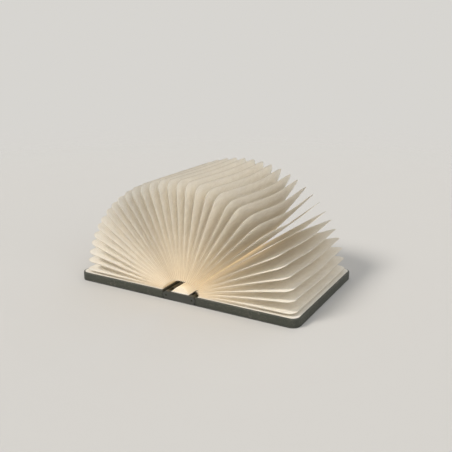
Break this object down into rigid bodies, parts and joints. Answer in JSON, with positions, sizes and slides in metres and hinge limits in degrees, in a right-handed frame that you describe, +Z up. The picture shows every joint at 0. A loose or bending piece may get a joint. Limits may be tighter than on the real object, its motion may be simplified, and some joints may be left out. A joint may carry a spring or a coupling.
{
  "type": "folding book lamp",
  "caption": "Folding book lamp: hinged cover boards on a spine with battery and light strip, and folded paper leaves that fan open into a half drum.",
  "frame": {"origin": "on the surface the open lamp lies on, under the middle of the spine", "axes": "+X across the open covers, from the front cover to the back cover; +Y along the spine towards the charge port; +Z up, the way the leaves stand"},
  "size_m": [0.2002, 0.118, 0.0961],
  "materials": {
    "case_plastic": "fine satin mould texture",
    "lid_plastic": "satin, white to throw the light up",
    "veneer": "charcoal-stained open-grain veneer, oiled",
    "cover_core": "dark through-dyed fibreboard, sanded edges",
    "dark_steel": "blackened steel",
    "steel": "zinc plated",
    "cell_foil": "laminated foil pouch",
    "board_green": "solder-masked laminate",
    "board_white": "white solder mask",
    "chip_yellow": "phosphor over light chips",
    "port_shell": "drawn shell",
    "port_black": "moulded",
    "light_pipe": "frosted",
    "reed_glass": "clear, sealed",
    "lead_red": "soft insulation",
    "lead_black": "soft insulation",
    "diffuser_white": "opal",
    "magnet_nickel": "nickel plated",
    "lining_paper": "spun-fibre sheet",
    "leaf_paper": "creased spun-fibre sheet, folded double"
  },
  "bodies": {
    "spine": {"spine_case": "case_plastic", "spine_lid": "lid_plastic", "spine_veneer": "veneer", "lid_screws": "steel", "hinge_pins": "dark_steel", "battery_cell": "cell_foil", "charging_board": "board_green", "charge_port": "port_shell", "port_tongue": "port_black", "charge_light": "light_pipe", "reed_switch": "reed_glass", "light_board": "board_white", "light_chips": "chip_yellow", "lead_positive": "lead_red", "lead_negative": "lead_black", "diffuser": "diffuser_white"},
    "front_cover": {"front_board": "cover_core", "front_veneer": "veneer", "front_lining": "lining_paper", "front_lugs": "dark_steel", "front_magnets": "magnet_nickel", "trigger_magnet": "magnet_nickel"},
    "back_cover": {"back_board": "cover_core", "back_veneer": "veneer", "back_lining": "lining_paper", "back_lugs": "dark_steel", "back_magnets": "magnet_nickel"},
    "leaf_01": {"leaf_01": "leaf_paper"},
    "leaf_02": {"leaf_02": "leaf_paper"},
    "leaf_03": {"leaf_03": "leaf_paper"},
    "leaf_04": {"leaf_04": "leaf_paper"},
    "leaf_05": {"leaf_05": "leaf_paper"},
    "leaf_06": {"leaf_06": "leaf_paper"},
    "leaf_07": {"leaf_07": "leaf_paper"},
    "leaf_08": {"leaf_08": "leaf_paper"},
    "leaf_09": {"leaf_09": "leaf_paper"},
    "leaf_10": {"leaf_10": "leaf_paper"},
    "leaf_11": {"leaf_11": "leaf_paper"},
    "leaf_12": {"leaf_12": "leaf_paper"},
    "leaf_13": {"leaf_13": "leaf_paper"},
    "leaf_14": {"leaf_14": "leaf_paper"},
    "leaf_15": {"leaf_15": "leaf_paper"},
    "leaf_16": {"leaf_16": "leaf_paper"},
    "leaf_17": {"leaf_17": "leaf_paper"},
    "leaf_18": {"leaf_18": "leaf_paper"},
    "leaf_19": {"leaf_19": "leaf_paper"},
    "leaf_20": {"leaf_20": "leaf_paper"},
    "leaf_21": {"leaf_21": "leaf_paper"},
    "leaf_22": {"leaf_22": "leaf_paper"},
    "leaf_23": {"leaf_23": "leaf_paper"},
    "leaf_24": {"leaf_24": "leaf_paper"},
    "leaf_25": {"leaf_25": "leaf_paper"},
    "leaf_26": {"leaf_26": "leaf_paper"},
    "leaf_27": {"leaf_27": "leaf_paper"},
    "leaf_28": {"leaf_28": "leaf_paper"},
    "leaf_29": {"leaf_29": "leaf_paper"},
    "leaf_30": {"leaf_30": "leaf_paper"},
    "leaf_31": {"leaf_31": "leaf_paper"},
    "leaf_32": {"leaf_32": "leaf_paper"},
    "leaf_33": {"leaf_33": "leaf_paper"}
  },
  "joints": [
    {"name": "front_cover_hinge", "type": "hinge", "parent": "spine", "child": "front_cover", "pos_m": [-0.0119, 0, 0.0038], "axis": [0, 1, 0], "range_deg": [0, 90]},
    {"name": "back_cover_hinge", "type": "hinge", "parent": "spine", "child": "back_cover", "pos_m": [0.0119, 0, 0.0038], "axis": [0, -1, 0], "range_deg": [0, 90]},
    {"name": "leaf_block_slide", "type": "slide", "parent": "spine", "child": "leaf_17", "axis": [0, 0, -1], "range_m": [0, 0.0047]},
    {"name": "leaf_01_fold", "type": "hinge", "parent": "leaf_17", "child": "leaf_01", "pos_m": [-0.00814, 0, 0.0077], "axis": [0, 1, 0], "range_deg": [0, 88.5]},
    {"name": "leaf_02_fold", "type": "hinge", "parent": "leaf_17", "child": "leaf_02", "pos_m": [-0.00763, 0, 0.0077], "axis": [0, 1, 0], "range_deg": [0, 82.97]},
    {"name": "leaf_03_fold", "type": "hinge", "parent": "leaf_17", "child": "leaf_03", "pos_m": [-0.00713, 0, 0.0077], "axis": [0, 1, 0], "range_deg": [0, 77.44]},
    {"name": "leaf_04_fold", "type": "hinge", "parent": "leaf_17", "child": "leaf_04", "pos_m": [-0.00662, 0, 0.0077], "axis": [0, 1, 0], "range_deg": [0, 71.91]},
    {"name": "leaf_05_fold", "type": "hinge", "parent": "leaf_17", "child": "leaf_05", "pos_m": [-0.00611, 0, 0.0077], "axis": [0, 1, 0], "range_deg": [0, 66.38]},
    {"name": "leaf_06_fold", "type": "hinge", "parent": "leaf_17", "child": "leaf_06", "pos_m": [-0.0056, 0, 0.0077], "axis": [0, 1, 0], "range_deg": [0, 60.84]},
    {"name": "leaf_07_fold", "type": "hinge", "parent": "leaf_17", "child": "leaf_07", "pos_m": [-0.00509, 0, 0.0077], "axis": [0, 1, 0], "range_deg": [0, 55.31]},
    {"name": "leaf_08_fold", "type": "hinge", "parent": "leaf_17", "child": "leaf_08", "pos_m": [-0.00458, 0, 0.0077], "axis": [0, 1, 0], "range_deg": [0, 49.78]},
    {"name": "leaf_09_fold", "type": "hinge", "parent": "leaf_17", "child": "leaf_09", "pos_m": [-0.00407, 0, 0.0077], "axis": [0, 1, 0], "range_deg": [0, 44.25]},
    {"name": "leaf_10_fold", "type": "hinge", "parent": "leaf_17", "child": "leaf_10", "pos_m": [-0.00356, 0, 0.0077], "axis": [0, 1, 0], "range_deg": [0, 38.72]},
    {"name": "leaf_11_fold", "type": "hinge", "parent": "leaf_17", "child": "leaf_11", "pos_m": [-0.00305, 0, 0.0077], "axis": [0, 1, 0], "range_deg": [0, 33.19]},
    {"name": "leaf_12_fold", "type": "hinge", "parent": "leaf_17", "child": "leaf_12", "pos_m": [-0.00254, 0, 0.0077], "axis": [0, 1, 0], "range_deg": [0, 27.66]},
    {"name": "leaf_13_fold", "type": "hinge", "parent": "leaf_17", "child": "leaf_13", "pos_m": [-0.00204, 0, 0.0077], "axis": [0, 1, 0], "range_deg": [0, 22.12]},
    {"name": "leaf_14_fold", "type": "hinge", "parent": "leaf_17", "child": "leaf_14", "pos_m": [-0.00153, 0, 0.0077], "axis": [0, 1, 0], "range_deg": [0, 16.59]},
    {"name": "leaf_15_fold", "type": "hinge", "parent": "leaf_17", "child": "leaf_15", "pos_m": [-0.00102, 0, 0.0077], "axis": [0, 1, 0], "range_deg": [0, 11.06]},
    {"name": "leaf_16_fold", "type": "hinge", "parent": "leaf_17", "child": "leaf_16", "pos_m": [-0.00051, 0, 0.0077], "axis": [0, 1, 0], "range_deg": [0, 5.53]},
    {"name": "leaf_18_fold", "type": "hinge", "parent": "leaf_17", "child": "leaf_18", "pos_m": [0.00051, 0, 0.0077], "axis": [0, 1, 0], "range_deg": [-5.53, 0]},
    {"name": "leaf_19_fold", "type": "hinge", "parent": "leaf_17", "child": "leaf_19", "pos_m": [0.00102, 0, 0.0077], "axis": [0, 1, 0], "range_deg": [-11.06, 0]},
    {"name": "leaf_20_fold", "type": "hinge", "parent": "leaf_17", "child": "leaf_20", "pos_m": [0.00153, 0, 0.0077], "axis": [0, 1, 0], "range_deg": [-16.59, 0]},
    {"name": "leaf_21_fold", "type": "hinge", "parent": "leaf_17", "child": "leaf_21", "pos_m": [0.00204, 0, 0.0077], "axis": [0, 1, 0], "range_deg": [-22.12, 0]},
    {"name": "leaf_22_fold", "type": "hinge", "parent": "leaf_17", "child": "leaf_22", "pos_m": [0.00254, 0, 0.0077], "axis": [0, 1, 0], "range_deg": [-27.66, 0]},
    {"name": "leaf_23_fold", "type": "hinge", "parent": "leaf_17", "child": "leaf_23", "pos_m": [0.00305, 0, 0.0077], "axis": [0, 1, 0], "range_deg": [-33.19, 0]},
    {"name": "leaf_24_fold", "type": "hinge", "parent": "leaf_17", "child": "leaf_24", "pos_m": [0.00356, 0, 0.0077], "axis": [0, 1, 0], "range_deg": [-38.72, 0]},
    {"name": "leaf_25_fold", "type": "hinge", "parent": "leaf_17", "child": "leaf_25", "pos_m": [0.00407, 0, 0.0077], "axis": [0, 1, 0], "range_deg": [-44.25, 0]},
    {"name": "leaf_26_fold", "type": "hinge", "parent": "leaf_17", "child": "leaf_26", "pos_m": [0.00458, 0, 0.0077], "axis": [0, 1, 0], "range_deg": [-49.78, 0]},
    {"name": "leaf_27_fold", "type": "hinge", "parent": "leaf_17", "child": "leaf_27", "pos_m": [0.00509, 0, 0.0077], "axis": [0, 1, 0], "range_deg": [-55.31, 0]},
    {"name": "leaf_28_fold", "type": "hinge", "parent": "leaf_17", "child": "leaf_28", "pos_m": [0.0056, 0, 0.0077], "axis": [0, 1, 0], "range_deg": [-60.84, 0]},
    {"name": "leaf_29_fold", "type": "hinge", "parent": "leaf_17", "child": "leaf_29", "pos_m": [0.00611, 0, 0.0077], "axis": [0, 1, 0], "range_deg": [-66.38, 0]},
    {"name": "leaf_30_fold", "type": "hinge", "parent": "leaf_17", "child": "leaf_30", "pos_m": [0.00662, 0, 0.0077], "axis": [0, 1, 0], "range_deg": [-71.91, 0]},
    {"name": "leaf_31_fold", "type": "hinge", "parent": "leaf_17", "child": "leaf_31", "pos_m": [0.00713, 0, 0.0077], "axis": [0, 1, 0], "range_deg": [-77.44, 0]},
    {"name": "leaf_32_fold", "type": "hinge", "parent": "leaf_17", "child": "leaf_32", "pos_m": [0.00763, 0, 0.0077], "axis": [0, 1, 0], "range_deg": [-82.97, 0]},
    {"name": "leaf_33_fold", "type": "hinge", "parent": "leaf_17", "child": "leaf_33", "pos_m": [0.00814, 0, 0.0077], "axis": [0, 1, 0], "range_deg": [-88.5, 0]}
  ],
  "couplings": [
    {"joint": "back_cover_hinge", "follows": "front_cover_hinge", "ratio": 1},
    {"joint": "leaf_block_slide", "follows": "front_cover_hinge", "m_per_rad": 0.0029921},
    {"joint": "leaf_01_fold", "follows": "front_cover_hinge", "ratio": 0.98333},
    {"joint": "leaf_02_fold", "follows": "front_cover_hinge", "ratio": 0.92188},
    {"joint": "leaf_03_fold", "follows": "front_cover_hinge", "ratio": 0.86042},
    {"joint": "leaf_04_fold", "follows": "front_cover_hinge", "ratio": 0.79896},
    {"joint": "leaf_05_fold", "follows": "front_cover_hinge", "ratio": 0.7375},
    {"joint": "leaf_06_fold", "follows": "front_cover_hinge", "ratio": 0.67604},
    {"joint": "leaf_07_fold", "follows": "front_cover_hinge", "ratio": 0.61458},
    {"joint": "leaf_08_fold", "follows": "front_cover_hinge", "ratio": 0.55312},
    {"joint": "leaf_09_fold", "follows": "front_cover_hinge", "ratio": 0.49167},
    {"joint": "leaf_10_fold", "follows": "front_cover_hinge", "ratio": 0.43021},
    {"joint": "leaf_11_fold", "follows": "front_cover_hinge", "ratio": 0.36875},
    {"joint": "leaf_12_fold", "follows": "front_cover_hinge", "ratio": 0.30729},
    {"joint": "leaf_13_fold", "follows": "front_cover_hinge", "ratio": 0.24583},
    {"joint": "leaf_14_fold", "follows": "front_cover_hinge", "ratio": 0.18438},
    {"joint": "leaf_15_fold", "follows": "front_cover_hinge", "ratio": 0.12292},
    {"joint": "leaf_16_fold", "follows": "front_cover_hinge", "ratio": 0.061458},
    {"joint": "leaf_18_fold", "follows": "front_cover_hinge", "ratio": -0.061458},
    {"joint": "leaf_19_fold", "follows": "front_cover_hinge", "ratio": -0.12292},
    {"joint": "leaf_20_fold", "follows": "front_cover_hinge", "ratio": -0.18438},
    {"joint": "leaf_21_fold", "follows": "front_cover_hinge", "ratio": -0.24583},
    {"joint": "leaf_22_fold", "follows": "front_cover_hinge", "ratio": -0.30729},
    {"joint": "leaf_23_fold", "follows": "front_cover_hinge", "ratio": -0.36875},
    {"joint": "leaf_24_fold", "follows": "front_cover_hinge", "ratio": -0.43021},
    {"joint": "leaf_25_fold", "follows": "front_cover_hinge", "ratio": -0.49167},
    {"joint": "leaf_26_fold", "follows": "front_cover_hinge", "ratio": -0.55312},
    {"joint": "leaf_27_fold", "follows": "front_cover_hinge", "ratio": -0.61458},
    {"joint": "leaf_28_fold", "follows": "front_cover_hinge", "ratio": -0.67604},
    {"joint": "leaf_29_fold", "follows": "front_cover_hinge", "ratio": -0.7375},
    {"joint": "leaf_30_fold", "follows": "front_cover_hinge", "ratio": -0.79896},
    {"joint": "leaf_31_fold", "follows": "front_cover_hinge", "ratio": -0.86042},
    {"joint": "leaf_32_fold", "follows": "front_cover_hinge", "ratio": -0.92188},
    {"joint": "leaf_33_fold", "follows": "front_cover_hinge", "ratio": -0.98333}
  ]
}
